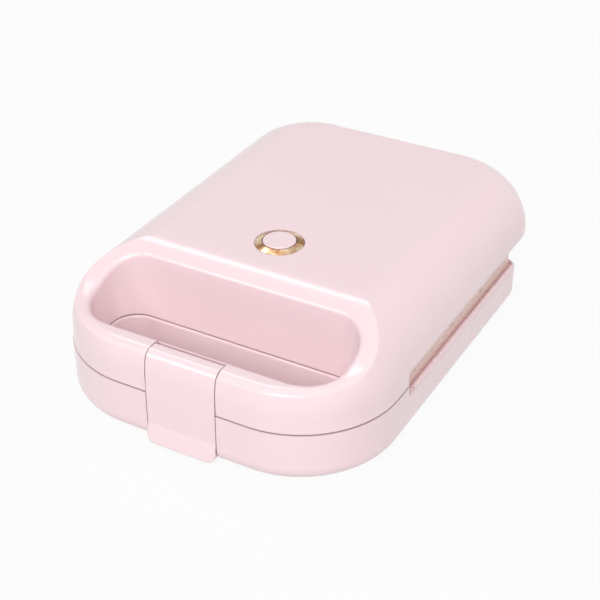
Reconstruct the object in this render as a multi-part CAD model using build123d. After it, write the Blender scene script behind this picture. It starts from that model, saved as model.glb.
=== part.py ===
from build123d import *
import os
from math import cos, radians, sin, sqrt, tan

# Countertop sandwich maker for one slice of toast, closed at rest.
# Millimetres, +Z up, front towards -Y, origin under the middle of the footprint.
# "depth" is measured back from the front of the body, "rise" up from the seam of lid and base.

# Overall form
body_width = 145.0
base_length = 169.0
lid_overhang = 28.3
base_height = 23.5
lid_height = 32.2
foot_proud = 2.5
latch_proud = 2.0
front_corner = 43.0
lid_rear_corner = 25.0
base_rear_corner = 5.0
base_edge = 7.0
wall = 2.4
seam_half_gap = 0.3
part_gap = 0.3

# Shoulders of the lid: a wide quarter round at the sides, a tighter one at the back
shoulder_rise = 25.0
side_run = 25.0
rear_run = 9.8
front_run = 20.0
wall_draft = 0.3
rear_corner_top = 16.0
loft_steps = 6

# Handle loop: flat bar at the front, swept up into the top of the lid
bar_rise = 18.4
bar_edge = 6.0
bar_flat = 12.0
sweep_hollow = 60.0
sweep_round = 20.0
sweep_angle = 24.0
block_taper = 1.0

# Finger opening through lid and base
finger_side = 17.4
finger_front = 13.5
finger_rear = 44.8
finger_front_corner = 15.0
finger_rear_corner = 10.7
finger_taper = 5.5
finger_base_taper = 2.0
finger_wall = 2.0
finger_lip = 2.5
finger_base_lip = 1.0
finger_room_gap = 1.2

# Openings between lid and base at the sides and the back
cheek_behind = 8.2
lid_skirt_rise = 6.8
deck_drop = 5.35
deck_proud = 1.9
deck_rim = 1.5
deck_edge = 1.2
deck_notch = 1.0
deck_notch_length = 6.0

# Cooking plates
plate_side = 2.7
plate_cover = 2.2
plate_back = 2.2
plate_corner = 4.0
plate_half_gap = 0.15
upper_rim = 6.25
lower_rim = 4.45
rim_side = 5.8
rim_end = 5.5
pan_corner = 20.0
upper_pan = 9.3
lower_pan = 10.3
pan_draft = 8.0
pan_wall = 2.2
pan_floor_round = 2.5
pan_rim_round = 1.0
plate_edge = 0.5
divider_foot = 8.0
divider_crest = 3.0
upper_divider = 6.3
lower_divider = 7.3
steam_width = 2.4
steam_depth = 0.8
steam_depths = (63.0, 100.0, 131.0)

# Moulded frames that carry the plates
frame_sheet = 2.2
frame_gap = 0.3
frame_pan_gap = 0.7
lid_frame_inset = 3.3
frame_web_behind = 3.5
frame_web = 2.0
collar_sheet = 1.6
collar_high = 3.0
cover_drop = 0.8
boss = 3.2
shell_post = 4.2
post_top = 8.0

# Screws
screw_shaft = 1.25
screw_head = 2.4
screw_head_height = 1.6
screw_edge = 0.5
screw_slot = 0.6
screw_slot_half = 1.5
screw_slot_deep = 0.7
screw_clear = 0.25
head_well = 0.6
corner_screw_inset = 6.6
handle_screw_side = 9.0
handle_screw_depth = 40.0
base_screw_side = 6.0
base_screw_back = 27.0
lid_screw_side = 20.5
lid_screw_back = 20.3
plate_screw_length = 6.0
tray_screw_length = 3.8
base_screw_length = 11.0
lid_screw_length = 9.0
switch_screw_length = 4.0

# Heating elements, their ends, clips and reflector trays
tube = 3.0
tube_bend = 9.0
element_side = 8.0
element_front_gap = 9.0
element_rear_gap = 11.0
element_tail_half = 14.0
element_tail_out = 4.5
bead = 3.5
bead_length = 3.0
pin = 1.2
pin_length = 3.0
tray_side = 12.0
tray_front_gap = 6.7
tray_rear_gap = 7.3
tray_corner = 9.0
tray_sheet = 0.5
tray_round = 1.5
tray_deep = 7.3
tray_clear = 0.55
tray_tab = 9.0
tray_tab_width = 8.0
tray_tab_deep = 3.85
tray_tab_corner = 2.0
tray_tab_screw = 4.0
tray_tab_front_in = 19.0
tray_tab_rear_in = 18.0
tail_clear = 0.6
tube_lift = 0.05
clip_sheet = 0.6
clip_width = 7.0
clip_foot = 2.8
clip_front_in = 22.0
clip_rear_in = 19.0

# Hinge
hinge_behind = 14.0
hinge_barrel = 5.5
hinge_pin = 2.0
arm_pin_slack = 0.05
lug_pin_slack = 0.08
pin_head = 2.8
pin_head_height = 1.0
pin_head_gap = 0.2
arm_inner = 32.0
arm_width = 10.0
lug_width = 7.6
hinge_side_gap = 0.4
lug_skin = 1.2
arm_root = 0.4
arm_edge = 0.6
arm_foot_low = 10.0
arm_foot_high = 19.8
lug_foot = 8.0

# Latch
latch_width = 31.5
latch_side_gap = 0.3
latch_sheet = 2.6
latch_pivot_depth = 7.2
latch_pivot_rise = 15.3
latch_barrel = 3.0
latch_pin = 1.25
latch_pin_slack = 0.05
latch_pin_bite = 3.2
latch_ear = 4.5
latch_knee_rise = 9.0
latch_crease = -14.5
latch_foot = -22.6
latch_foot_corner = 3.6
latch_top_edge = 4.0
latch_knee = 2.1
hook_rise = -6.6
hook_reach = 1.85
hook_height = 2.4
hook_nose = 0.9
latch_block_rear = 13.9
recess_depth = 5.2
recess_wall = 2.4

# Push button, its ring and the switch under it
button_depth = 77.7
ring_radius = 10.43
ring_proud = 1.0
ring_crest = 7.75
ring_bore = 7.35
ring_seat = 0.8
ring_seat_gap = 0.1
ring_sleeve = 8.7
ring_sleeve_gap = 0.15
ring_sleeve_deep = 4.6
button_radius = 7.04
button_proud = 1.4
button_edge = 0.5
button_flange = 8.2
button_flange_sheet = 0.8
button_skin = 1.6
button_roof = 2.0
button_travel = 1.5
button_stem = 1.6
spring_pressed = 1.7
switch_half = 9.0
switch_height = 3.0
switch_ear_half = 16.0
switch_ear_width = 7.0
switch_ear_sheet = 1.3
switch_bore = 2.0
switch_bore_deep = 2.0
switch_screw_half = 13.0
switch_post = 2.6
spring_wire = 0.35
spring_radius = 3.4
spring_turns = 3

# Feet, cord gland and electrical parts
foot_radius = 6.0
foot_sunk = 1.2
foot_edge = 0.8
foot_side = 22.5
foot_front = 60.0
foot_back = 17.0
foot_seat = 2.0
gland_rise = -12.4
gland_bore = 3.2
gland_neck = 4.2
gland_flange = 5.6
gland_lip = 5.2
gland_gap = 0.15
gland_flange_sheet = 1.6
gland_tail = 7.0
gland_tail_end = 4.2
gland_slot = 0.8
terminal_width = 22.0
terminal_deep = 7.5
terminal_high = 6.4
terminal_side = -31.0
terminal_back = 7.1
terminal_screw = 1.8
terminal_bore = 1.3
terminal_bore_up = 2.6
terminal_slit = 1.0
stat_radius = 7.0
stat_height = 4.0
stat_strap = 0.8
stat_strap_half = 13.0
stat_strap_width = 6.0
fuse_radius = 1.9
fuse_length = 13.0
fuse_lead = 0.5
fuse_clip_width = 5.0
vent_side = 24.0
vent_half = 8.0
vent_width = 2.0
vent_pitch = 6.0
vent_count = 5

# Places derived from the sizes above
half_width = body_width / 2
lid_length = base_length + lid_overhang
finger_half = half_width - finger_side
cheek_rear = finger_rear + cheek_behind
frame_web_front = finger_rear + frame_web_behind
plate_half = half_width - plate_side
plate_front = cheek_rear - plate_cover
plate_rear = base_length - plate_back
pan_half = plate_half - rim_side
pan_front = plate_front + rim_end
pan_rear = plate_rear - rim_end
tray_half = pan_half - tray_side
tray_front = pan_front + tray_front_gap
tray_rear = pan_rear - tray_rear_gap
tray_tab_half = tray_half + tray_tab_screw
tray_tab_front = tray_front + tray_tab_front_in
tray_tab_rear = tray_rear - tray_tab_rear_in
element_half = tray_half - element_side
element_front = tray_front + element_front_gap
element_rear = tray_rear - element_rear_gap
element_tail = tray_rear + element_tail_out
clip_depths = (element_front + clip_front_in, element_rear - clip_rear_in)
corner_screw_half = plate_half - corner_screw_inset
corner_screw_front = plate_front + corner_screw_inset
corner_screw_rear = plate_rear - corner_screw_inset
lid_frame_half = half_width - lid_frame_inset
lid_frame_rear = lid_length - lid_frame_inset
hinge_depth = base_length + hinge_behind
foot_half = half_width - foot_side
foot_rear = base_length - foot_back
front_y = latch_proud - (latch_proud + lid_length - wall_draft) / 2
lid_back_y = front_y + lid_length
base_back_y = front_y + base_length
seam_z = foot_proud + base_height
top_z = seam_z + lid_height
base_top_z = seam_z - seam_half_gap
lid_low_z = seam_z + seam_half_gap
floor_z = foot_proud + wall
deck_z = seam_z - deck_drop
cheek_y = front_y + cheek_rear
button_y = front_y + button_depth
hinge_y = front_y + hinge_depth
pan_mid_y = front_y + (pan_front + pan_rear) / 2
lower_face_z = seam_z - plate_half_gap
upper_face_z = seam_z + plate_half_gap
lower_seat_z = lower_face_z - lower_rim
upper_seat_z = upper_face_z + upper_rim
lower_back_z = lower_face_z - lower_pan - pan_wall
upper_back_z = upper_face_z + upper_pan + pan_wall
lower_tray_z = lower_back_z - tray_clear - tray_deep
upper_tray_z = upper_back_z + tray_clear + tray_deep
ceiling_z = top_z - wall
flange_z = top_z - ring_sleeve_deep - part_gap
switch_z = flange_z - button_flange_sheet - button_travel - spring_pressed
cover_gap = wall + frame_gap


def rounded_sheet(half, front, back, front_radius, back_radius):
    """Flat outline with its own corner radii at the front and at the back."""
    sheet = Pos(0, (front + back) / 2) * Rectangle(2 * half, back - front)
    sheet = fillet(sheet.vertices().group_by(Axis.Y)[0], front_radius)
    return fillet(sheet.vertices().group_by(Axis.Y)[-1], back_radius)


def slab(half, front, back, low, high, front_radius, back_radius, taper=0.0):
    """Upright block over that outline."""
    sheet = Pos(0, 0, low) * rounded_sheet(half, front, back, front_radius, back_radius)
    return extrude(sheet, amount=high - low, taper=taper)


def box(x_low, x_high, y_low, y_high, z_low, z_high):
    middle = Pos((x_low + x_high) / 2, (y_low + y_high) / 2, (z_low + z_high) / 2)
    return middle * Box(x_high - x_low, y_high - y_low, z_high - z_low)


def post(x, y, low, high, radius):
    return Pos(x, y, (low + high) / 2) * Cylinder(radius, high - low)


def cross_bar(x_low, x_high, y, z, radius):
    """Round bar along X."""
    return Location(((x_low + x_high) / 2, y, z), (0, 90, 0)) * Cylinder(radius, x_high - x_low)


def long_bar(x, y_low, y_high, z, radius):
    """Round bar along Y."""
    return Location((x, (y_low + y_high) / 2, z), (90, 0, 0)) * Cylinder(radius, y_high - y_low)


def both_sides(piece):
    """A piece and its mirror image at the other side."""
    return piece + mirror(piece, about=Plane.YZ)


def corners(half, front, rear):
    """Four places at the corners of a rectangle, depths measured from the front."""
    return [(x, front_y + depth) for x in (-half, half) for depth in (front, rear)]


def turned_over(piece, level):
    """Mirror image above and below a level."""
    return mirror(piece, about=Plane.XY.offset(level))


def lid_dome(skin):
    """Lid with its shoulders, lofted through level outlines, or the same form inset by skin."""
    outlines = [Pos(0, 0, seam_z - 1) * rounded_sheet(
        half_width - skin, front_y + skin, lid_back_y - skin,
        front_corner - skin, lid_rear_corner - skin)]
    for step in range(loft_steps + 1):
        turn = radians(90 * step / loft_steps)
        lean = 1 - cos(turn)
        level = top_z - shoulder_rise + (shoulder_rise - skin) * sin(turn)
        outlines.append(Pos(0, 0, level) * rounded_sheet(
            half_width - wall_draft - skin - (side_run - skin) * lean,
            front_y + wall_draft + skin + (front_run - skin) * lean,
            lid_back_y - wall_draft - skin - (rear_run - skin) * lean,
            front_corner - skin - (side_run - skin) * lean,
            lid_rear_corner - skin - (lid_rear_corner - rear_corner_top) * lean))
    return loft(outlines)


def lid_sweep(skin):
    """Side profile of the lid, from the handle bar up to the flat top, drawn out across it."""
    lean = radians(sweep_angle)
    hollow = sweep_hollow + skin
    crown = sweep_round - skin
    both_round = sweep_hollow + sweep_round
    hollow_y = front_y + bar_flat
    hollow_z = seam_z + bar_rise + sweep_hollow
    ramp = lid_height - bar_rise - both_round * (1 - cos(lean))
    crown_y = hollow_y + both_round * sin(lean) + ramp / tan(lean)
    crown_z = top_z - sweep_round
    low = seam_z - 5

    def on_hollow(turn):
        return (hollow_y + hollow * sin(turn), hollow_z - hollow * cos(turn))

    def on_crown(turn):
        return (crown_y - crown * sin(turn), crown_z + crown * cos(turn))

    start = (front_y - 5, on_hollow(0)[1])
    end = (lid_back_y + 5, on_crown(0)[1])
    edges = [
        Line(start, on_hollow(0)),
        ThreePointArc(on_hollow(0), on_hollow(lean / 2), on_hollow(lean)),
        Line(on_hollow(lean), on_crown(lean)),
        ThreePointArc(on_crown(lean), on_crown(lean / 2), on_crown(0)),
        Line(on_crown(0), end),
        Line(end, (end[0], low)),
        Line((end[0], low), (start[0], low)),
        Line((start[0], low), start),
    ]
    return extrude(Plane.YZ * make_face(edges), amount=half_width + 5, both=True)


def lid_form(skin, edge=0.0):
    """Full form of the lid, or its inside; the outer one has a rounded edge on the handle loop."""
    block = slab(half_width - skin, front_y + skin, lid_back_y - skin, seam_z - 1, top_z + 5,
                 front_corner - skin, lid_rear_corner - skin, taper=block_taper)
    block = block & lid_sweep(skin)
    if edge:
        rims = []
        for rim in block.edges():
            middle = rim.center()
            across = abs(middle.X) < 1 and front_y + 10 < middle.Y < lid_back_y - 10
            if middle.Z > seam_z + bar_rise - 1 and not across:
                rims.append(rim)
        block = fillet(rims, edge)
    return block & lid_dome(skin)


def finger_hole(low, high, skin, taper):
    """Room of the finger opening above a level, grown by the wall round it."""
    return slab(finger_half + skin, front_y + finger_front - skin, front_y + finger_rear + skin,
                low, high, finger_front_corner + skin, finger_rear_corner + skin, taper=-taper)


def finger_hole_down(depth, skin):
    """Room of the finger opening below the seam."""
    return turned_over(finger_hole(seam_z, seam_z + depth, skin, finger_base_taper), seam_z)


def level_face(piece, top):
    """Highest or lowest level face of a piece."""
    return piece.faces().filter_by(Plane.XY).sort_by(Axis.Z)[-1 if top else 0]


def pan(half, front, rear, corner, open_z, shut_z):
    """Drafted pan that narrows from its open side to its shut side."""
    depth = abs(shut_z - open_z)
    form = slab(half, front_y + front, front_y + rear, open_z, open_z + depth,
                corner, corner, taper=pan_draft)
    if shut_z < open_z:
        form = turned_over(form, open_z)
    return form


def screw(x, y, seat, length, up=True):
    """Pan-head screw with a cross slot; the head sits on a level, the shaft points up or down."""
    shaft = post(0, 0, 0, length, screw_shaft)
    head = post(0, 0, -screw_head_height, 0, screw_head)
    head = chamfer(head.edges().filter_by(GeomType.CIRCLE).group_by(Axis.Z)[0], screw_edge)
    low = -screw_head_height - 1
    high = -screw_head_height + screw_slot_deep
    slot = box(-screw_slot_half, screw_slot_half, -screw_slot / 2, screw_slot / 2, low, high)
    whole = shaft + head - slot - Rot(0, 0, 90) * slot
    if not up:
        whole = turned_over(whole, 0)
    return Pos(x, y, seat) * whole


def latch_face(rise):
    """Depth of the lid's front face at a height above the seam."""
    if rise <= lid_height - shoulder_rise:
        return wall_draft * (rise + 1) / (lid_height - shoulder_rise + 1)
    share = (rise - lid_height + shoulder_rise) / shoulder_rise
    return wall_draft + front_run * (1 - sqrt(1 - share * share))


def latch_side():
    """Side view of the latch, depth against rise: barrel, plate, hook and flared lip."""
    top = latch_pivot_rise + latch_barrel
    bend = lid_height - shoulder_rise
    middle = (bend + top) / 2
    back = latch_sheet + latch_face(0)
    hook_low = hook_rise - hook_height
    knee = (latch_pivot_depth - latch_knee, latch_pivot_rise - latch_knee)
    outline = [
        Line((latch_pivot_depth, top), (latch_face(top), top)),
        ThreePointArc((latch_face(top), top), (latch_face(middle), middle), (latch_face(bend), bend)),
        Line((latch_face(bend), bend), (0, 0)),
        Line((0, 0), (0, latch_crease)),
        Line((0, latch_crease), (-latch_proud, latch_foot)),
        Line((-latch_proud, latch_foot), (latch_sheet - latch_proud, latch_foot - 0.4)),
        Line((latch_sheet - latch_proud, latch_foot - 0.4), (back, latch_crease)),
        Line((back, latch_crease), (back, hook_low)),
        Line((back, hook_low), (back + hook_reach, hook_rise - hook_nose)),
        Line((back + hook_reach, hook_rise - hook_nose), (back + hook_reach, hook_rise)),
        Line((back + hook_reach, hook_rise), (back, hook_rise)),
        Line((back, hook_rise), (back, latch_knee_rise)),
        Line((back, latch_knee_rise), knee),
        Line(knee, (latch_pivot_depth, latch_pivot_rise)),
        Line((latch_pivot_depth, latch_pivot_rise), (latch_pivot_depth, top)),
    ]
    side = make_face(outline)
    nose = side.vertices().sort_by_distance((latch_face(top), top, 0))[0]
    side = fillet(nose, latch_top_edge)
    return side + Pos(latch_pivot_depth, latch_pivot_rise) * Circle(latch_barrel)


def across(side, half):
    """A side view drawn out to both sides."""
    return Pos(0, front_y, seam_z) * extrude(Plane.YZ * side, amount=half, both=True)


def latch_room():
    """Room cut for the latch, with the throat its barrel turns through."""
    half = latch_width / 2 + latch_side_gap
    room = across(offset(latch_side(), part_gap), half)
    reach = latch_barrel + part_gap
    y = front_y + latch_pivot_depth
    z = seam_z + latch_pivot_rise
    return room + box(-half, half, front_y - 1, y + reach, z, top_z)


def build_latch():
    side = latch_side() - Pos(latch_pivot_depth, latch_pivot_rise) * Circle(latch_pin + latch_pin_slack)
    lever = across(side, latch_width / 2)
    tips = lever.edges().filter_by(lambda e: e.center().Z < seam_z + latch_foot + 0.3
                                   and abs(e.center().X) > latch_width / 2 - 0.1)
    return fillet(tips, latch_foot_corner)


def build_latch_pin():
    half = latch_width / 2 + latch_side_gap + latch_pin_bite
    return cross_bar(-half, half, front_y + latch_pivot_depth, seam_z + latch_pivot_rise, latch_pin)


def base_form(skin, low, high):
    """Tub of the base with its rounded bottom edge, or its inside."""
    tub = slab(half_width - skin, front_y + skin, base_back_y - skin, low, high,
               front_corner - skin, base_rear_corner - skin)
    return fillet(tub.faces().sort_by(Axis.Z)[0].edges(), base_edge - skin)


def base_posts():
    """Places of the screws that hold the base and its frame together: in the handle, at the sides."""
    front = [(x * (half_width - handle_screw_side), front_y + handle_screw_depth) for x in (-1, 1)]
    rear = [(x * (half_width - base_screw_side), base_back_y - base_screw_back) for x in (-1, 1)]
    return front, rear


def hinge_arm():
    """Arm at the back of the base that carries the hinge pin."""
    barrel = Pos(hinge_y, seam_z) * Circle(hinge_barrel)
    foot = Pos(base_back_y - arm_root, (arm_foot_low + arm_foot_high) / 2) * Rectangle(
        arm_root, arm_foot_high - arm_foot_low)
    side = make_hull((barrel + foot).edges())
    arm = Pos(arm_inner) * extrude(Plane.YZ * side, amount=arm_width)
    arm = chamfer(arm.edges().filter_by(lambda e: e.center().Y > base_back_y + 1), arm_edge)
    end = arm_inner + arm_width
    arm -= cross_bar(arm_inner - 1, end + 1, hinge_y, seam_z, hinge_pin + arm_pin_slack)
    return arm - cross_bar(end - pin_head_height - pin_head_gap, end + 1, hinge_y, seam_z,
                           pin_head + pin_head_gap)


def build_base_shell():
    hole = finger_hole_down(base_height + 5, 0)
    form = base_form(0, foot_proud, base_top_z) - hole
    form = fillet(lip_edges(form, hole, 0, seam_z), finger_base_lip)
    shell = form - base_form(wall, floor_z, seam_z + 5)
    shell += finger_hole_down(base_height, finger_wall) & form
    half = latch_width / 2 + latch_side_gap
    shell += box(-half - latch_ear, half + latch_ear, front_y, front_y + recess_depth + recess_wall,
                 foot_proud, base_top_z) & form
    front, rear = base_posts()
    for x, y in front + rear:
        shell += post(x, y, floor_z - 0.5, post_top, shell_post) & form
    for x, y in corners(foot_half, foot_front, foot_rear):
        shell += post(x, y, foot_proud + 1, foot_proud + foot_sunk + wall - 0.7, foot_radius + foot_seat)
    shell -= box(-half_width - 1, half_width + 1, cheek_y, base_back_y + 1, deck_z, seam_z + 1)
    shell -= box(-half, half, front_y - 1, front_y + recess_depth, foot_proud - 1, seam_z)
    catch = hook_rise + part_gap
    shell += box(-half, half, front_y + latch_sheet + latch_face(0) + part_gap,
                 front_y + recess_depth, seam_z + catch, base_top_z)
    shell += both_sides(hinge_arm())
    for x, y in front + rear:
        shell -= post(x, y, foot_proud - 1, post_top - wall, screw_head + head_well)
        shell -= post(x, y, foot_proud, post_top + 1, screw_shaft + screw_clear)
    for x, y in corners(foot_half, foot_front, foot_rear):
        shell -= post(x, y, foot_proud - 1, foot_proud + foot_sunk, foot_radius)
    shell -= long_bar(0, base_back_y - wall - 1, base_back_y + 1, seam_z + gland_rise, gland_neck)
    for side in (-1, 1):
        for step in range(vent_count):
            y = pan_mid_y + (step - (vent_count - 1) / 2) * vent_pitch
            shell -= Pos(side * vent_side, y, foot_proud) * extrude(
                SlotOverall(2 * vent_half, vent_width), amount=wall + 1)
    return shell


def finger_wall_room(low, high):
    """Room that both frames leave round the walls of the finger opening and the latch."""
    half = latch_width / 2 + latch_side_gap + latch_ear + frame_gap
    out = finger_wall + finger_room_gap
    room = slab(finger_half + out, front_y + finger_front - out, front_y + finger_rear + out, low, high,
                finger_front_corner + out, finger_rear_corner + out)
    return room + box(-half, half, front_y - 1, front_y + finger_front, low, high)


def build_base_frame():
    """Moulding that closes the base: ledge for the plate, strip on the wall, handle cover."""
    inner = half_width - cover_gap
    top = lower_seat_z
    low = top - frame_sheet
    cover_z = base_top_z - cover_drop
    strip = slab(half_width, cheek_y, base_back_y, deck_z, deck_z + deck_proud, 0.5, base_rear_corner)
    rim = strip.faces().sort_by(Axis.Z)[-1].edges().filter_by(lambda e: e.center().Y > cheek_y + 1)
    strip = fillet(rim, deck_edge)
    strip -= slab(half_width - deck_rim, cheek_y - 5, base_back_y - deck_rim, top, seam_z,
                  0.5, base_rear_corner - deck_rim)
    strip -= box(-half_width - 1, half_width + 1, cheek_y - 1, cheek_y + deck_notch_length,
                 deck_z + deck_proud - deck_notch, seam_z)
    web_y = front_y + frame_web_front
    frame = strip + slab(inner, web_y, base_back_y - cover_gap, low, top, 1.0, 2.0)
    frame += box(-inner, inner, web_y, front_y + plate_front - part_gap, low, cover_z)
    frame += slab(inner, front_y + cover_gap, web_y + 1, cover_z - frame_sheet, cover_z,
                  front_corner - cover_gap, 0.2)
    front, rear = base_posts()
    for x, y in front:
        frame += post(x, y, post_top, cover_z - 1, boss)
    for x, y in rear:
        frame += post(x, y, post_top, low + 1, boss)
    for x, y in front + rear:
        frame -= post(x, y, post_top - 1, post_top + base_screw_length - wall, screw_shaft)
    frame += both_sides(box(inner - frame_web, inner, web_y, button_y, low - 3, low))
    gap = pan_wall + frame_pan_gap
    frame -= slab(pan_half + gap, front_y + pan_front - gap, front_y + pan_rear + gap,
                  post_top + 5, top + 1, pan_corner + gap, pan_corner + gap)
    for x, y in corners(corner_screw_half, corner_screw_front, corner_screw_rear):
        frame -= post(x, y, low - 1, top + 1, screw_shaft + screw_clear)
    return frame - finger_wall_room(foot_proud, seam_z)


def build_plate(face_z, seat_z, pan_z, divider, notches):
    """Cast plate: flat rim, drafted pan with a rounded floor, a ridge across and lugs behind."""
    way = 1 if seat_z > face_z else -1
    low, high = sorted((face_z, seat_z))
    rim = slab(plate_half, front_y + plate_front, front_y + plate_rear, low, high,
               plate_corner, plate_corner)
    rim = fillet(level_face(rim, way < 0).edges(), plate_edge)
    plate = rim + pan(pan_half + pan_wall, pan_front - pan_wall, pan_rear + pan_wall,
                      pan_corner + pan_wall, face_z, pan_z + way * pan_wall) - rim
    plate = rim + plate
    hollow = pan(pan_half, pan_front, pan_rear, pan_corner, face_z, pan_z)
    plate -= fillet(level_face(hollow, way > 0).edges(), pan_floor_round)
    plate = fillet(level_face(plate, way < 0).inner_wires().edges(), pan_rim_round)
    middle = (pan_front + pan_rear) / 2
    ridge = [
        (middle - divider_foot / 2, pan_z + way * 0.5),
        (middle - divider_crest / 2, pan_z - way * divider),
        (middle + divider_crest / 2, pan_z - way * divider),
        (middle + divider_foot / 2, pan_z + way * 0.5),
    ]
    ridge = make_face(Polyline(*ridge, close=True))
    crest = ridge.vertices().sort_by_distance((middle, pan_z - way * divider, 0))[0:2]
    ridge = Plane.YZ * (Pos(front_y) * fillet(crest, 1.2))
    plate += extrude(ridge, amount=pan_half - 1, both=True)
    back_z = pan_z + way * pan_wall
    for x, y in corners(tray_tab_half, tray_tab_front, tray_tab_rear):
        low, high = sorted((back_z - way * 0.5, back_z + way * tray_tab_deep))
        plate += post(x, y, low, high, boss)
        low, high = sorted((back_z + way * 0.5, back_z + way * (tray_tab_deep + 1)))
        plate -= post(x, y, low, high, screw_shaft)
    for x, y in corners(corner_screw_half, corner_screw_front, corner_screw_rear):
        low, high = sorted((seat_z + way, seat_z - way * (plate_screw_length - frame_sheet)))
        plate -= post(x, y, low, high, screw_shaft)
    for depth in notches:
        y = front_y + depth
        plate -= box(-plate_half - 1, plate_half + 1, y - steam_width / 2, y + steam_width / 2,
                     face_z - steam_depth, face_z + steam_depth)
    return plate


def element_path(level):
    """Run of a heating element: in from the back, round the plate, out at the back again."""
    tail = front_y + element_tail
    rear = front_y + element_rear
    front = front_y + element_front
    points = [
        (-element_tail_half, tail, level), (-element_tail_half, rear, level),
        (-element_half, rear, level), (-element_half, front, level),
        (element_half, front, level), (element_half, rear, level),
        (element_tail_half, rear, level), (element_tail_half, tail, level),
    ]
    return FilletPolyline(*points, radius=tube_bend)


def build_element(level):
    path = element_path(level)
    return sweep(Plane(path @ 0, z_dir=path % 0) * Circle(tube), path=path)


def build_element_ends(level):
    """Ceramic beads in the ends of a heating element, each with its contact pin."""
    start = front_y + element_tail
    bead_end = start + bead_length
    end = long_bar(element_tail_half, start, bead_end, level, bead)
    end = chamfer(end.edges().filter_by(GeomType.CIRCLE).group_by(Axis.Y)[-1], 0.6)
    end += long_bar(element_tail_half, bead_end, bead_end + pin_length, level, pin)
    return both_sides(end)


def clip(radius, reach, width):
    """Sheet strap bent over a round bar that lies along Y on the level of its feet."""
    arch = Circle(radius + clip_sheet) - Circle(radius)
    arch = Pos(0, radius) * (arch & Pos(0, radius) * Rectangle(4 * radius, 2 * radius))
    arch += Pos(radius + clip_sheet / 2, radius / 2) * Rectangle(clip_sheet, radius)
    arch += Pos(-radius - clip_sheet / 2, radius / 2) * Rectangle(clip_sheet, radius)
    arch += Pos(radius + reach / 2, clip_sheet / 2) * Rectangle(reach, clip_sheet)
    arch += Pos(-radius - reach / 2, clip_sheet / 2) * Rectangle(reach, clip_sheet)
    return extrude(Plane.XZ * arch, amount=width / 2, both=True)


def build_element_clips(floor, way):
    """Straps over a heating element, standing on its tray."""
    strap = clip(tube + tube_lift, clip_foot + clip_sheet, clip_width)
    if way < 0:
        strap = turned_over(strap, 0)
    places = [Pos(0, front_y + element_front, floor) * Rot(0, 0, 90)]
    for x in (-element_half, element_half):
        places += [Pos(x, front_y + depth, floor) for depth in clip_depths]
    return [place * strap for place in places]


def build_tray(back_z, way):
    """Pressed reflector behind a plate: shallow box with screw tabs and notches for the tails."""
    low = back_z + way * (tray_clear + tray_deep)
    rim = back_z + way * tray_clear
    bottom, top = sorted((low, rim))
    tray = slab(tray_half, front_y + tray_front, front_y + tray_rear, bottom, top, tray_corner, tray_corner)
    tray = fillet(level_face(tray, way > 0).edges(), tray_round)
    inset = tray_half - tray_sheet
    room_low, room_high = sorted((low - way * tray_sheet, rim + -way * 5))
    room = slab(inset, front_y + tray_front + tray_sheet, front_y + tray_rear - tray_sheet,
                room_low, room_high, tray_corner - tray_sheet, tray_corner - tray_sheet)
    room = fillet(level_face(room, way > 0).edges(), tray_round - tray_sheet)
    tray -= room
    axis = low - way * (tray_sheet + tube)
    for side in (-1, 1):
        x = side * element_tail_half
        notch_low, notch_high = sorted((axis, rim - way * 2))
        tray -= box(x - tube - tail_clear, x + tube + tail_clear, front_y + tray_rear - 4,
                    front_y + tray_rear + 1, notch_low, notch_high)
        tray -= long_bar(x, front_y + tray_rear - 4, front_y + tray_rear + 1, axis, tube + tail_clear)
    tab_low, tab_high = sorted((back_z + way * tray_tab_deep, back_z + way * (tray_tab_deep + tray_sheet)))
    for x, y in corners(tray_tab_half, tray_tab_front, tray_tab_rear):
        x_low, x_high = sorted((tray_half * x / abs(x), (tray_half + tray_tab) * x / abs(x)))
        tab = box(x_low, x_high, y - tray_tab_width / 2, y + tray_tab_width / 2, tab_low, tab_high)
        outer = tab.edges().filter_by(Axis.Z).filter_by(lambda e: abs(e.center().X) > tray_half + 1)
        tab = fillet(outer, tray_tab_corner)
        tray += tab
        tray -= post(x, y, tab_low - 1, tab_high + 1, screw_shaft + screw_clear)
    return tray


def screw_set(places, seat, length, up):
    return [screw(x, y, seat, length, up) for x, y in places]


def build_hinge_pins():
    """Steel pins through the arms of the base into the lugs of the lid frame."""
    end = arm_inner + arm_width - pin_head_gap
    inner = arm_inner - hinge_side_gap - lug_width + lug_skin + 0.3
    pivot = cross_bar(inner, end, hinge_y, seam_z, hinge_pin)
    pivot = chamfer(pivot.edges().filter_by(GeomType.CIRCLE).group_by(Axis.X)[0], 0.4)
    head = cross_bar(end - pin_head_height, end, hinge_y, seam_z, pin_head)
    head = chamfer(head.edges().filter_by(GeomType.CIRCLE).group_by(Axis.X)[-1], 0.3)
    pivot += head
    return [pivot, mirror(pivot, about=Plane.YZ)]


def lid_lug():
    """Lug on the lid frame that turns on a hinge pin."""
    outer = arm_inner - hinge_side_gap
    barrel = Pos(hinge_y, seam_z) * Circle(hinge_barrel)
    foot = Pos(hinge_y, upper_seat_z + 0.5) * Rectangle(2 * lug_foot, 1)
    side = make_hull((barrel + foot).edges())
    lug = Pos(outer - lug_width) * extrude(Plane.YZ * side, amount=lug_width)
    return lug - cross_bar(outer - lug_width + lug_skin, outer + 1, hinge_y, seam_z,
                           hinge_pin + lug_pin_slack)


def lid_posts():
    """Places of the screws that hold the lid and its frame together."""
    front = [(x * (half_width - handle_screw_side), front_y + handle_screw_depth) for x in (-1, 1)]
    rear = [(x * (half_width - lid_screw_side), lid_back_y - lid_screw_back) for x in (-1, 1)]
    return front, rear


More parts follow.
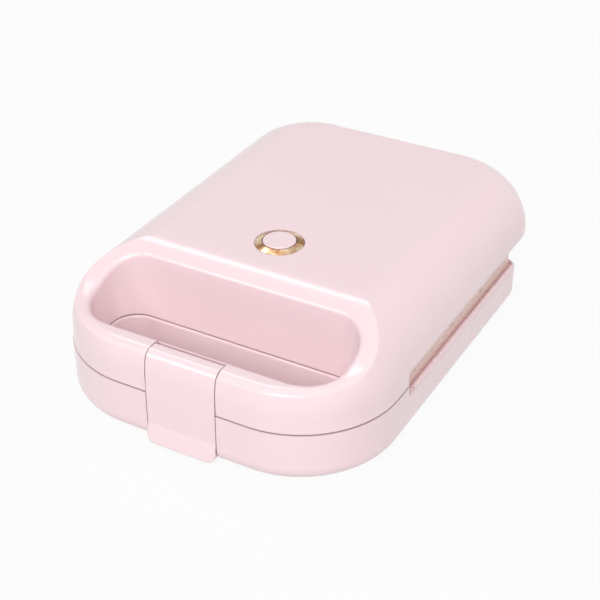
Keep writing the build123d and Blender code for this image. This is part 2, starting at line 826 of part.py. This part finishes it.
def build_lid_frame():
    """Moulding that closes the lid: flange over the plate, handle cover, upstands, hinge lugs."""
    low = upper_seat_z
    top = low + frame_sheet
    cover_z = lid_low_z + cover_drop
    web_y = front_y + frame_web_front
    inner = lid_frame_half
    frame = slab(inner, web_y, front_y + lid_frame_rear, low, top, 1.0, lid_rear_corner - cover_gap)
    frame += box(-inner, inner, web_y, front_y + plate_front - part_gap, cover_z, top)
    frame += slab(inner, front_y + cover_gap + 0.5, web_y + 1, cover_z, cover_z + frame_sheet,
                  front_corner - cover_gap - 0.5, 0.2)
    gap = pan_wall + frame_pan_gap
    out = gap + collar_sheet
    frame += slab(pan_half + out, front_y + pan_front - out, front_y + pan_rear + out,
                  top - 0.5, top + collar_high, pan_corner + out, pan_corner + out)
    frame -= slab(pan_half + gap, front_y + pan_front - gap, front_y + pan_rear + gap,
                  low - 1, top + 5, pan_corner + gap, pan_corner + gap)
    frame += both_sides(lid_lug())
    front, rear = lid_posts()
    for x, y in front:
        frame -= post(x, y, cover_z - 1, cover_z + 5, screw_shaft + screw_clear)
    for x, y in rear:
        frame -= post(x, y, low - 1, top + 1, screw_shaft + screw_clear)
    for x, y in corners(corner_screw_half, corner_screw_front, corner_screw_rear):
        frame -= post(x, y, top, top + 5, screw_head + head_well)
        frame -= post(x, y, low - 1, top + 1, screw_shaft + screw_clear)
    return frame - finger_wall_room(seam_z, low - 0.5)


def lip_edges(form, hole, low, high):
    """Edges of a body that lie on the walls of a hole, between two levels."""
    walls = hole.faces().filter_by(Plane.XY, reverse=True)
    return [edge for edge in form.edges()
            if low < edge.center().Z < high and min(w.distance_to(edge @ 0.5) for w in walls) < 0.01]


def build_lid_shell():
    hole = finger_hole(seam_z - 5, top_z + 5, 0, finger_taper)
    form = lid_form(0, bar_edge) - hole
    form = fillet(lip_edges(form, hole, seam_z + bar_rise - 1, top_z), finger_lip)
    shell = form - lid_form(wall)
    half = latch_width / 2 + latch_side_gap
    extra = finger_hole(seam_z - 1, top_z, finger_wall, finger_taper)
    extra += box(-half - latch_ear, half + latch_ear, front_y, front_y + latch_block_rear,
                 seam_z - 1, top_z)
    front, rear = lid_posts()
    for x, y in front:
        extra += post(x, y, lid_low_z + cover_drop + frame_sheet, top_z, boss)
    for x, y in rear:
        extra += post(x, y, upper_seat_z + frame_sheet, top_z, boss)
    for side in (-1, 1):
        extra += post(side * switch_screw_half, button_y, switch_z, top_z, switch_post)
    shell += extra & form
    shell -= box(-half_width - 1, half_width + 1, cheek_y, lid_back_y + 1, seam_z - 5,
                 seam_z + lid_skirt_rise)
    shell -= box(-half_width - 1, half_width + 1, front_y - 1, cheek_y + 1, seam_z - 5, lid_low_z)
    shell -= latch_room()
    shell -= build_latch_pin()
    shell -= box(-half + 2, half - 2, front_y + 5.5, front_y + finger_front - finger_wall,
                 seam_z, seam_z + latch_pivot_rise - latch_barrel - 2.5)
    for x, y in front:
        shell -= post(x, y, seam_z, lid_low_z + cover_drop + lid_screw_length, screw_shaft)
    for x, y in rear:
        shell -= post(x, y, seam_z, upper_seat_z + lid_screw_length, screw_shaft)
    for side in (-1, 1):
        shell -= post(side * switch_screw_half, button_y, switch_z - 1,
                      switch_z - switch_ear_sheet + switch_screw_length, screw_shaft)
    shell -= post(0, button_y, top_z - ring_seat, top_z + 1, ring_radius + ring_seat_gap)
    shell -= post(0, button_y, ceiling_z - 1, top_z + 1, ring_sleeve + ring_sleeve_gap)
    return shell


def build_ring():
    """Metal ring round the button: seated flange with a sloping face and a sleeve below it."""
    seat = top_z - ring_seat
    points = [
        (ring_bore, top_z - ring_sleeve_deep), (ring_sleeve, top_z - ring_sleeve_deep),
        (ring_sleeve, seat), (ring_radius, seat), (ring_radius, top_z),
        (ring_crest, top_z + ring_proud), (ring_bore, top_z + ring_proud),
    ]
    half = Plane.XZ * make_face(Polyline(*points, close=True))
    return Pos(0, button_y) * revolve(half, Axis.Z)


def build_button():
    """Cap with a flange that stops it under the ring, and a stem down into the switch."""
    low = flange_z - button_flange_sheet
    cap = post(0, 0, low, top_z + button_proud, button_radius)
    cap = fillet(cap.edges().filter_by(GeomType.CIRCLE).group_by(Axis.Z)[-1], button_edge)
    cap += post(0, 0, low, flange_z, button_flange)
    cap -= post(0, 0, low - 1, top_z + button_proud - button_roof, button_radius - button_skin)
    cap += post(0, 0, switch_z - 0.5, top_z, button_stem)
    return Pos(0, button_y) * cap


def build_switch():
    """Switch hung under the top of the lid by two screwed ears."""
    body = box(-switch_half, switch_half, -switch_half, switch_half, switch_z - switch_height, switch_z)
    body = fillet(body.edges().filter_by(Axis.Z), 1.5)
    ears = box(-switch_ear_half, switch_ear_half, -switch_ear_width / 2, switch_ear_width / 2,
               switch_z - switch_ear_sheet, switch_z)
    ears = fillet(ears.edges().filter_by(Axis.Z), 2.5)
    whole = body + ears - post(0, 0, switch_z - switch_bore_deep, switch_z + 1, switch_bore)
    for side in (-1, 1):
        whole -= post(side * switch_screw_half, 0, switch_z - 5, switch_z + 1, screw_shaft + screw_clear)
        whole += box(-0.4, 0.4, side * 4 - 2, side * 4 + 2, switch_z - switch_height - 0.6,
                     switch_z - switch_height)
    return Pos(0, button_y) * whole


def build_spring():
    """Coil between the switch and the flange of the button."""
    low = switch_z + spring_wire
    high = flange_z - button_flange_sheet - spring_wire
    coil = Helix(pitch=(high - low) / spring_turns, height=high - low, radius=spring_radius)
    section = RegularPolygon(spring_wire, 6)
    wire = sweep(Plane(coil @ 0, z_dir=coil % 0) * section, path=coil, is_frenet=True)
    return Pos(0, button_y, low) * wire


def build_feet():
    feet = []
    for x, y in corners(foot_half, foot_front, foot_rear):
        foot = post(x, y, 0, foot_proud + foot_sunk, foot_radius)
        feet.append(chamfer(foot.edges().filter_by(GeomType.CIRCLE).group_by(Axis.Z)[0], foot_edge))
    return feet


def build_gland():
    """Rubber bush in the back wall: flange outside, lip inside, short slotted sleeve."""
    y = base_back_y
    sheet = gland_flange_sheet
    inside = y - wall - gland_gap
    points = [
        (gland_bore, inside - sheet), (gland_lip, inside - sheet), (gland_lip, inside),
        (gland_neck, inside), (gland_neck, y), (gland_flange, y), (gland_flange, y + sheet),
        (gland_neck + 0.6, y + sheet), (gland_tail_end, y + gland_tail), (gland_bore, y + gland_tail),
    ]
    half = make_face(Polyline(*points, close=True))
    z = seam_z + gland_rise
    bush = Pos(0, 0, z) * revolve(half, Axis.Y)
    for start in (2.6, 4.6):
        for side in (-1, 1):
            middle = y + start
            bush -= box(side * 5 - 1.2, side * 5 + 1.2, middle, middle + gland_slot, z - 6, z + 6)
    return bush


def build_terminal_block():
    """Screw terminal block on the floor of the base."""
    x = terminal_side
    y = base_back_y - terminal_back
    front = y - terminal_deep - 1
    low = floor_z
    top = low + terminal_high
    block = box(x - terminal_width / 2, x + terminal_width / 2, y - terminal_deep, y, low, top)
    block = fillet(block.edges().filter_by(Axis.Z), 1.0)
    middle = y - terminal_deep / 2
    for step in (-1, 0, 1):
        place = x + step * terminal_width / 3
        block -= post(place, middle, top - 2, top + 1, terminal_screw)
        block -= long_bar(place, front, y + 1, low + terminal_bore_up, terminal_bore)
    for step in (-0.5, 0.5):
        place = x + step * terminal_width / 3
        block -= box(place - terminal_slit / 2, place + terminal_slit / 2, front, y + 1, low + 4, top + 1)
    return block


def build_thermostat():
    """Disc thermostat held against the underside of the lower plate by a strap on the tray."""
    face = lower_back_z
    floor = lower_tray_z + tray_sheet
    low = face - stat_height
    body = post(0, 0, low, face, stat_radius)
    body += box(-stat_strap_half, stat_strap_half, -stat_strap_width / 2, stat_strap_width / 2,
                low - stat_strap, low)
    for side in (-1, 1):
        inner, outer = sorted((side * (stat_strap_half - stat_strap), side * stat_strap_half))
        body += box(inner, outer, -stat_strap_width / 2, stat_strap_width / 2, floor, low)
        inner, outer = sorted((side * stat_strap_half, side * (stat_strap_half + 4)))
        body += box(inner, outer, -stat_strap_width / 2, stat_strap_width / 2, floor, floor + stat_strap)
    return Pos(0, pan_mid_y) * body


def build_fuse():
    """Thermal fuse lying on the back of the upper plate, with its two leads."""
    level = upper_back_z + fuse_radius
    body = cross_bar(-fuse_length / 2, fuse_length / 2, pan_mid_y, level, fuse_radius)
    body = chamfer(body.edges().filter_by(GeomType.CIRCLE), 0.5)
    return body + cross_bar(-fuse_length, fuse_length, pan_mid_y, level, fuse_lead)


def build_fuse_clip():
    strap = Rot(0, 0, 90) * clip(fuse_radius, clip_foot, fuse_clip_width)
    return Pos(0, pan_mid_y, upper_back_z) * strap


lower_element_z = lower_tray_z + tray_sheet + tube + tube_lift
upper_element_z = upper_tray_z - tray_sheet - tube - tube_lift
lower_tab_z = lower_back_z - tray_tab_deep - tray_sheet
upper_tab_z = upper_back_z + tray_tab_deep + tray_sheet
tab_places = corners(tray_tab_half, tray_tab_front, tray_tab_rear)
rim_places = corners(corner_screw_half, corner_screw_front, corner_screw_rear)
switch_places = [(-switch_screw_half, button_y), (switch_screw_half, button_y)]
front_base_posts, rear_base_posts = base_posts()
front_lid_posts, rear_lid_posts = lid_posts()

parts = {
    "base_shell": build_base_shell(),
    "base_inner_frame": build_base_frame(),
    "lower_plate": build_plate(lower_face_z, lower_seat_z, lower_face_z - lower_pan, lower_divider, ()),
    "lower_reflector": build_tray(lower_back_z, -1),
    "lower_heating_element": build_element(lower_element_z),
    "lower_element_ends": build_element_ends(lower_element_z),
    "lower_element_clips": build_element_clips(lower_tray_z + tray_sheet, 1),
    "thermostat": build_thermostat(),
    "terminal_block": build_terminal_block(),
    "cord_gland": build_gland(),
    "rubber_feet": build_feet(),
    "base_screws": screw_set(front_base_posts + rear_base_posts, post_top - wall, base_screw_length, True),
    "lower_plate_screws": screw_set(rim_places, lower_seat_z - frame_sheet, plate_screw_length, True),
    "lower_reflector_screws": screw_set(tab_places, lower_tab_z, tray_screw_length, True),
    "hinge_pins": build_hinge_pins(),
    "lid_shell": build_lid_shell(),
    "lid_inner_frame": build_lid_frame(),
    "upper_plate": build_plate(upper_face_z, upper_seat_z, upper_face_z + upper_pan, upper_divider,
                               steam_depths),
    "upper_reflector": build_tray(upper_back_z, 1),
    "upper_heating_element": build_element(upper_element_z),
    "upper_element_ends": build_element_ends(upper_element_z),
    "upper_element_clips": build_element_clips(upper_tray_z - tray_sheet, -1),
    "thermal_fuse": build_fuse(),
    "fuse_clip": build_fuse_clip(),
    "button_ring": build_ring(),
    "power_switch": build_switch(),
    "switch_screws": screw_set(switch_places, switch_z - switch_ear_sheet, switch_screw_length, True),
    "lid_front_screws": screw_set(front_lid_posts, lid_low_z + cover_drop, lid_screw_length, True),
    "lid_rear_screws": screw_set(rear_lid_posts, upper_seat_z, lid_screw_length, True),
    "upper_plate_screws": screw_set(rim_places, upper_seat_z + frame_sheet, plate_screw_length, False),
    "upper_reflector_screws": screw_set(tab_places, upper_tab_z, tray_screw_length, False),
    "latch_pin": build_latch_pin(),
    "latch": build_latch(),
    "push_button": build_button(),
    "button_spring": build_spring(),
}

os.makedirs("parts", exist_ok=True)
for name, piece in parts.items():
    if isinstance(piece, list):
        piece = Compound(children=piece)
    export_step(piece, f"parts/{name}.step")
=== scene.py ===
import bpy
from mathutils import Matrix, Vector

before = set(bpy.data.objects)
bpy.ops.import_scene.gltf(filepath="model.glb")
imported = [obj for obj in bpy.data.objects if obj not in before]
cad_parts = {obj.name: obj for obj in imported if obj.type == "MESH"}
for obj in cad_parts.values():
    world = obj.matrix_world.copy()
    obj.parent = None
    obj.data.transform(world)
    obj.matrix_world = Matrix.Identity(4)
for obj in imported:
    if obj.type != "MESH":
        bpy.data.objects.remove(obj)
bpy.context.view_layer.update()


# Housing. Lid and base are injection-moulded shells in pale pink glossy plastic, with
# the lid shut down on the base along one thin seam. The polished mould leaves a clear
# gloss, a hardly visible flow mottle and softly rounded edges.

coat_haze = 0.04
gloss_spread = 0.12
mottle_detail = 4.0
grain_detail = 2.0
grain_height = 0.0002
edge_rays = 4
# Painted shade in seams and creases: its rays, the ends of its range and its darkness.
seam_rays = 6
seam_closed = 0.15
seam_open = 0.8
painted_seam_darkness = 0.48


def clouds(tree, place, scale, detail):
    """Soft cloudy pattern that stays with its piece."""
    pattern = tree.nodes.new("ShaderNodeTexNoise")
    pattern.inputs["Scale"].default_value = scale
    pattern.inputs["Detail"].default_value = detail
    tree.links.new(place, pattern.inputs["Vector"])
    return pattern.outputs["Fac"]


def stretch(tree, value, ends):
    """Value mapped from 0 to 1, or with other ends where the named sockets give them."""
    mapped = tree.nodes.new("ShaderNodeMapRange")
    for socket, end in ends.items():
        mapped.inputs[socket].default_value = end
    tree.links.new(value, mapped.inputs["Value"])
    return mapped.outputs["Result"]


def blend(tree, share, low):
    """Mix that starts at the low colour. Its other colour, B, is left to be set."""
    mix = tree.nodes.new("ShaderNodeMix")
    mix.data_type = "RGBA"
    mix.inputs["A"].default_value = (*low, 1.0)
    tree.links.new(share, mix.inputs["Factor"])
    return mix


def flow_mottle(tree, cloud, colour, mottle):
    """Colour that wavers a little to the dark and the light side."""
    mix = blend(tree, cloud, [c * (1 - mottle) for c in colour])
    mix.inputs["B"].default_value = (*[min(1.0, c * (1 + mottle)) for c in colour], 1.0)
    return mix.outputs["Result"]


def painted_seam_shade(tree, open_colour, colour, seam_depth):
    """Open colour with painted shade, darker where another face is nearer than the seam depth.
    """
    nearness = tree.nodes.new("ShaderNodeAmbientOcclusion")
    nearness.samples = seam_rays
    nearness.inputs["Distance"].default_value = seam_depth
    openness = stretch(tree, nearness.outputs["AO"],
                       {"From Min": seam_closed, "From Max": seam_open})
    mix = blend(tree, openness, [c * c * painted_seam_darkness for c in colour])
    tree.links.new(open_colour, mix.inputs["B"])
    return mix.outputs["Result"]


def soft_edges(tree, radius):
    """Facing of the surface, rounded over its sharp edges."""
    edge = tree.nodes.new("ShaderNodeBevel")
    edge.samples = edge_rays
    edge.inputs["Radius"].default_value = radius
    return edge.outputs["Normal"]


def fine_grain(tree, place, facing, strength, scale):
    """Facing of the surface, roughened by a fine grain."""
    relief = tree.nodes.new("ShaderNodeBump")
    relief.inputs["Strength"].default_value = strength
    relief.inputs["Distance"].default_value = grain_height
    tree.links.new(clouds(tree, place, scale, grain_detail), relief.inputs["Height"])
    tree.links.new(facing, relief.inputs["Normal"])
    return relief.outputs["Normal"]


def finish(name, colour, roughness, metallic=0.0, coat=0.0, mottle=0.02, mottle_scale=60.0,
           bump=0.0, bump_scale=900.0, soft_edge=0.0003, seam_depth=0.0):
    """Material with mottle, uneven gloss and soft edges, and grain and painted seam shade if
    asked.
    """
    made = bpy.data.materials.new(name)
    made.use_nodes = True
    tree = made.node_tree
    body = tree.nodes["Principled BSDF"]
    body.inputs["Metallic"].default_value = metallic
    body.inputs["Coat Weight"].default_value = coat
    body.inputs["Coat Roughness"].default_value = coat_haze

    place = tree.nodes.new("ShaderNodeTexCoord").outputs["Object"]
    cloud = clouds(tree, place, mottle_scale, mottle_detail)
    shown = flow_mottle(tree, cloud, colour, mottle)
    # Painted shade: the colour darkens near facing surfaces, in seams, creases and recesses.
    if seam_depth:
        shown = painted_seam_shade(tree, shown, colour, seam_depth)
    tree.links.new(shown, body.inputs["Base Color"])

    gloss = stretch(tree, cloud, {"To Min": roughness * (1 - gloss_spread),
                                  "To Max": roughness * (1 + gloss_spread)})
    tree.links.new(gloss, body.inputs["Roughness"])

    facing = soft_edges(tree, soft_edge)
    if bump:
        facing = fine_grain(tree, place, facing, bump, bump_scale)
    tree.links.new(facing, body.inputs["Normal"])
    return made


def dress(material, *pieces):
    """Give the material to every slot of the named pieces."""
    for piece in pieces:
        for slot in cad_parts[piece].material_slots:
            slot.material = material


# The pink is darkened by painted shade within 1 mm of a facing surface, in seams and creases.
gloss_pink = finish("gloss pink plastic", (0.955, 0.75, 0.781), 0.18, coat=0.15, mottle=0.012,
                    mottle_scale=25.0, bump=0.015, bump_scale=300.0, soft_edge=0.0005,
                    seam_depth=0.001)
dress(gloss_pink, "lid_shell", "base_shell")


# Latch. One moulded clip in the housing's plastic. It hangs from a steel pin inside the
# lid's front bar, lies over the seam and hooks into the front of the base.

pin_steel = finish("bright pin steel", (0.60, 0.60, 0.61), 0.22, metallic=1.0, mottle=0.05,
                   mottle_scale=500.0)
dress(gloss_pink, "latch")
dress(pin_steel, "latch_pin")


# Push button. A moulded cap in the same pink, pushed up by a wire spring in a turned ring
# that is plated in rose gold. Its colour holds painted reflections, amber to champagne patches.

# Colours of the painted reflections on the ring, from deep amber through amber to champagne.
deep_amber = (0.30, 0.15, 0.07, 1)
amber = (0.52, 0.31, 0.17, 1)
champagne = (0.66, 0.56, 0.42, 1)

rose_gold = finish("rose gold plating", (0.50, 0.31, 0.19), 0.16, metallic=1.0, mottle=0.03,
                   mottle_scale=170.0)
plating = rose_gold.node_tree
# Painted reflections: random patches of these colours replace the ring's plain plating colour.
painted_reflections = plating.nodes.new("ShaderNodeValToRGB")
stops = painted_reflections.color_ramp.elements
stops[0].position = 0.40
stops[0].color = deep_amber
stops[1].position = 0.62
stops[1].color = champagne
stops.new(0.49).color = amber
plating.links.new(plating.nodes["Noise Texture"].outputs["Fac"], painted_reflections.inputs["Fac"])
plating.links.new(painted_reflections.outputs["Color"], plating.nodes["Principled BSDF"].inputs["Base Color"])

spring_wire = finish("spring wire", (0.48, 0.47, 0.46), 0.3, metallic=1.0, mottle=0.08,
                     mottle_scale=700.0)
dress(gloss_pink, "push_button")
dress(rose_gold, "button_ring")
dress(spring_wire, "button_spring")


# Inner frames. Flat mouldings that close each shell round its plate, in the same pink
# with a less polished, slightly grained face.

# The frames are darkened by painted shade within 0.7 mm of a facing surface, in seams and
# creases.
satin_pink = finish("satin pink plastic", (0.94, 0.73, 0.76), 0.3, bump=0.06, seam_depth=0.0007)
dress(satin_pink, "base_inner_frame", "lid_inner_frame")


# Plates. Die-cast aluminium pans under a rose-beige non-stick coat, with the fine
# sparkle and pebbled skin of a sprayed and baked finish.

# The coat is darkened by painted shade within 0.5 mm of a facing surface, in seams and creases.
coating = finish("rose beige coating", (0.87, 0.655, 0.60), 0.3, metallic=0.1, mottle=0.07,
                 mottle_scale=500.0, bump=0.08, bump_scale=2500.0, seam_depth=0.0005)
dress(coating, "lower_plate", "upper_plate")


# Heating elements. Bent steel tubes that the heat has tinted, with white unglazed
# ceramic ends, held by sheet clips on pressed trays of aluminised sheet.

tinted_tube = finish("heat-tinted steel", (0.20, 0.19, 0.18), 0.42, metallic=0.85, mottle=0.2,
                     mottle_scale=90.0)
ceramic = finish("unglazed ceramic", (0.80, 0.77, 0.70), 0.7, mottle=0.05, bump=0.15,
                 bump_scale=1500.0)
clip_steel = finish("clip steel", (0.52, 0.52, 0.53), 0.34, metallic=1.0, mottle=0.08,
                    mottle_scale=300.0)
tray_sheet = finish("aluminised sheet", (0.76, 0.76, 0.75), 0.24, metallic=1.0, mottle=0.05,
                    mottle_scale=200.0, bump=0.05, bump_scale=600.0)
dress(tinted_tube, "lower_heating_element", "upper_heating_element")
dress(ceramic, "lower_element_ends", "upper_element_ends")
dress(clip_steel, "lower_element_clips", "upper_element_clips")
dress(tray_sheet, "lower_reflector", "upper_reflector")


# Screws and hinge pins. Zinc-plated steel fasteners, a little clouded, that hold frames,
# plates, trays and switch, and the two pins that carry the lid.

zinc_steel = finish("zinc steel", (0.55, 0.55, 0.56), 0.3, metallic=1.0, mottle=0.08,
                    mottle_scale=400.0)
dress(zinc_steel, "base_screws", "lid_front_screws", "lid_rear_screws", "lower_plate_screws",
      "upper_plate_screws", "lower_reflector_screws", "upper_reflector_screws",
      "switch_screws", "hinge_pins")


# Feet and cord gland. Soft grey-rose rubber, matt and finely grained: four feet pressed
# into the floor of the base, and the bush in its back wall where a lead goes in.

rubber = finish("grey rubber", (0.34, 0.29, 0.30), 0.75, mottle=0.08, bump=0.2)
dress(rubber, "rubber_feet", "cord_gland")


# Electrical parts. A ceramic thermostat against the lower plate, a nylon-sleeved fuse
# strapped to the upper one, a black nylon switch under the button, and a natural nylon
# terminal block by the gland.

nylon = finish("natural nylon", (0.78, 0.76, 0.70), 0.45, mottle=0.03, bump=0.05)
black_nylon = finish("black nylon", (0.02, 0.02, 0.022), 0.4, mottle=0.1, bump=0.1)
dress(ceramic, "thermostat")
dress(nylon, "thermal_fuse", "terminal_block")
dress(clip_steel, "fuse_clip")
dress(black_nylon, "power_switch")


# Studio. A wide sheet of matt white paper as floor and a white room around it. Both
# look white to the camera and in reflections, and light the machine only gently.

white = (1, 1, 1, 1)
paper_colour = (0.62, 0.62, 0.62, 1)
paper_roughness = 0.9
paper_size = 8.0
paper_drop = 0.0002
paper_white_share = 0.94
room_white_share = 1.0
room_light = 0.24


def maths(tree, operation, first):
    """Maths node fed by the first value. Its other input is left to be set."""
    step = tree.nodes.new("ShaderNodeMath")
    step.operation = operation
    tree.links.new(first, step.inputs[0])
    return step


def show_white(tree, lit, backdrop, output, share):
    """Mix the lit shader with the white backdrop where it is looked at or mirrored."""
    ray = tree.nodes.new("ShaderNodeLightPath").outputs
    looked_at = maths(tree, "MAXIMUM", ray["Is Camera Ray"])
    tree.links.new(ray["Is Glossy Ray"], looked_at.inputs[1])
    any_view = maths(tree, "MAXIMUM", looked_at.outputs[0])
    tree.links.new(ray["Is Transmission Ray"], any_view.inputs[1])
    weight = maths(tree, "MULTIPLY", any_view.outputs[0])
    weight.inputs[1].default_value = share
    mixed = tree.nodes.new("ShaderNodeMixShader")
    tree.links.new(weight.outputs[0], mixed.inputs[0])
    tree.links.new(lit.outputs[0], mixed.inputs[1])
    tree.links.new(backdrop.outputs[0], mixed.inputs[2])
    tree.links.new(mixed.outputs[0], output.inputs["Surface"])


bpy.ops.mesh.primitive_plane_add(size=paper_size, location=(0, 0, -paper_drop))
floor = bpy.context.object
floor.name = "studio_floor"
paper = bpy.data.materials.new("white paper")
paper.use_nodes = True
sheet = paper.node_tree.nodes["Principled BSDF"]
sheet.inputs["Base Color"].default_value = paper_colour
sheet.inputs["Roughness"].default_value = paper_roughness
glow = paper.node_tree.nodes.new("ShaderNodeEmission")
glow.inputs["Color"].default_value = white
glow.inputs["Strength"].default_value = 1.0
show_white(paper.node_tree, sheet, glow, paper.node_tree.nodes["Material Output"],
           paper_white_share)
floor.data.materials.append(paper)

room = bpy.data.worlds.new("studio room")
bpy.context.scene.world = room
room.use_nodes = True
dim = room.node_tree.nodes["Background"]
dim.inputs["Color"].default_value = white
dim.inputs["Strength"].default_value = room_light
wall = room.node_tree.nodes.new("ShaderNodeBackground")
wall.inputs["Color"].default_value = white
wall.inputs["Strength"].default_value = 1.0
show_white(room.node_tree, dim, wall, room.node_tree.nodes["World Output"], room_white_share)


# Lamps. A broad key from the front, a window on the left that draws the thin line along
# the grip's edge, a strip above for the line on the crest, and weak fills all round. The
# gloss mirrors the key, the window, the strip and the lamp overhead, but not the fills.

lit_point = Vector((0, 0, 0.03))


def softbox(name, place, width, height, power, mirrored=True):
    """Rectangular lamp aimed at the middle of the machine, its width level with the floor."""
    lamp = bpy.data.lights.new(name, "AREA")
    lamp.shape = "RECTANGLE"
    lamp.size = width
    lamp.size_y = height
    lamp.energy = power
    holder = bpy.data.objects.new(name, lamp)
    bpy.context.collection.objects.link(holder)
    holder.location = place
    holder.visible_glossy = mirrored
    look = (lit_point - Vector(place)).normalized()
    across = (Vector((1, 0, 0)) - look * look.x).normalized()
    turn = Matrix((across, across.cross(look), -look)).transposed()
    holder.rotation_euler = turn.to_euler()


softbox("front_key", (0.3, -1.1, 1.05), 1.0, 0.9, 13.8)
softbox("left_window", (-0.6, -1.1, 0.75), 0.3, 0.45, 2.8)
softbox("crest_strip", (-0.59, 0.445, 1.246), 0.55, 0.28, 2.2)
softbox("overhead", (0.1, 0.15, 1.5), 1.2, 1.0, 2.0)
softbox("right_fill", (1.3, -0.1, 0.4), 0.9, 0.6, 3.4, mirrored=False)
softbox("rear_fill", (0.3, 1.2, 0.3), 0.9, 0.5, 3.2, mirrored=False)


# Camera. It stands where the photograph was taken from, above the front right corner,
# and looks at the middle of the machine through a long lens.

eye = Vector((0.2421, -0.4378, 0.3409))
aim = Vector((0.0189, -0.0364, 0.0451))
focal_length = 81.1
film_width = 36.0
nearest_view = 0.01

lens = bpy.data.cameras.new("photo_lens")
lens.lens = focal_length
lens.sensor_width = film_width
lens.clip_start = nearest_view
camera = bpy.data.objects.new("photo_camera", lens)
bpy.context.collection.objects.link(camera)
camera.location = eye
camera.rotation_euler = (aim - eye).to_track_quat("-Z", "Y").to_euler()
bpy.context.scene.camera = camera
bpy.context.scene.view_settings.view_transform = "Standard"
